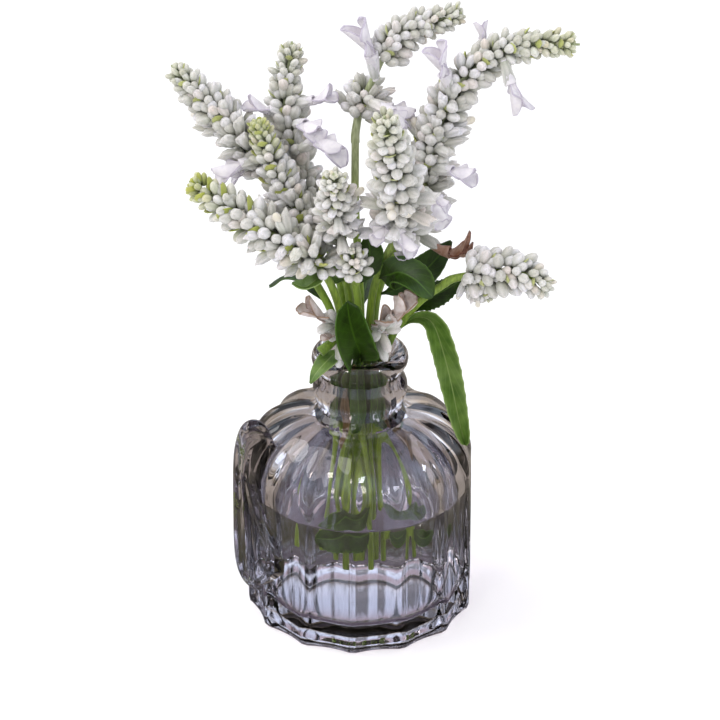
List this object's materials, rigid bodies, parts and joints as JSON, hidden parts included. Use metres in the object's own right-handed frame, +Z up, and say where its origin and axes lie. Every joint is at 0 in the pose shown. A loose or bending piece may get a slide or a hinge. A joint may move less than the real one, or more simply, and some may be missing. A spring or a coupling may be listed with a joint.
{
  "type": "salvia bouquet in a glass vase",
  "caption": "White salvia sprigs with leaves, standing in water in a small fluted clear glass vase with an ear handle.",
  "frame": {"origin": "centre of the flat foot of the vase, on the surface it stands on", "axes": "+Z up along the axis of the vase; the ear handle stands out along -X; the front of the bouquet leans towards -Y"},
  "size_m": [0.1411, 0.102, 0.2498],
  "materials": {
    "pressed_glass": "clear pressed glass with a faint violet-grey tint",
    "water": "clear still water",
    "green_stem": "smooth fresh stalk",
    "dark_leaf": "soft waxy leaf",
    "white_bloom": "woolly white calyx",
    "faded_bloom": "dry faded petal"
  },
  "bodies": {
    "root": {"cut_shoot": "green_stem", "faded_flowers_left": "faded_bloom", "faded_flowers_right": "faded_bloom", "flowers_back": "white_bloom", "flowers_centre": "white_bloom", "flowers_front": "white_bloom", "flowers_left_back": "white_bloom", "flowers_left_front": "white_bloom", "flowers_left_mid": "white_bloom", "flowers_right_low": "white_bloom", "flowers_small_front": "white_bloom", "flowers_top_centre": "white_bloom", "flowers_top_right": "white_bloom", "leaf_at_lip": "dark_leaf", "leaf_back": "dark_leaf", "leaf_back_left": "dark_leaf", "leaf_cupped": "dark_leaf", "leaf_curled": "dark_leaf", "leaf_dark": "dark_leaf", "leaf_drooping": "dark_leaf", "leaf_in_water": "dark_leaf", "leaf_in_water_small": "dark_leaf", "leaf_inner": "dark_leaf", "leaf_pointed": "dark_leaf", "leaf_side": "dark_leaf", "leaf_upright": "dark_leaf", "stem_back": "green_stem", "stem_front": "green_stem", "stem_left_back": "green_stem", "stem_left_front": "green_stem", "stem_left_mid": "green_stem", "stem_right_low": "green_stem", "stem_small_front": "green_stem", "stem_top_centre": "green_stem", "stem_top_right": "green_stem", "vase": "pressed_glass", "water": "water"}
  },
  "joints": []
}
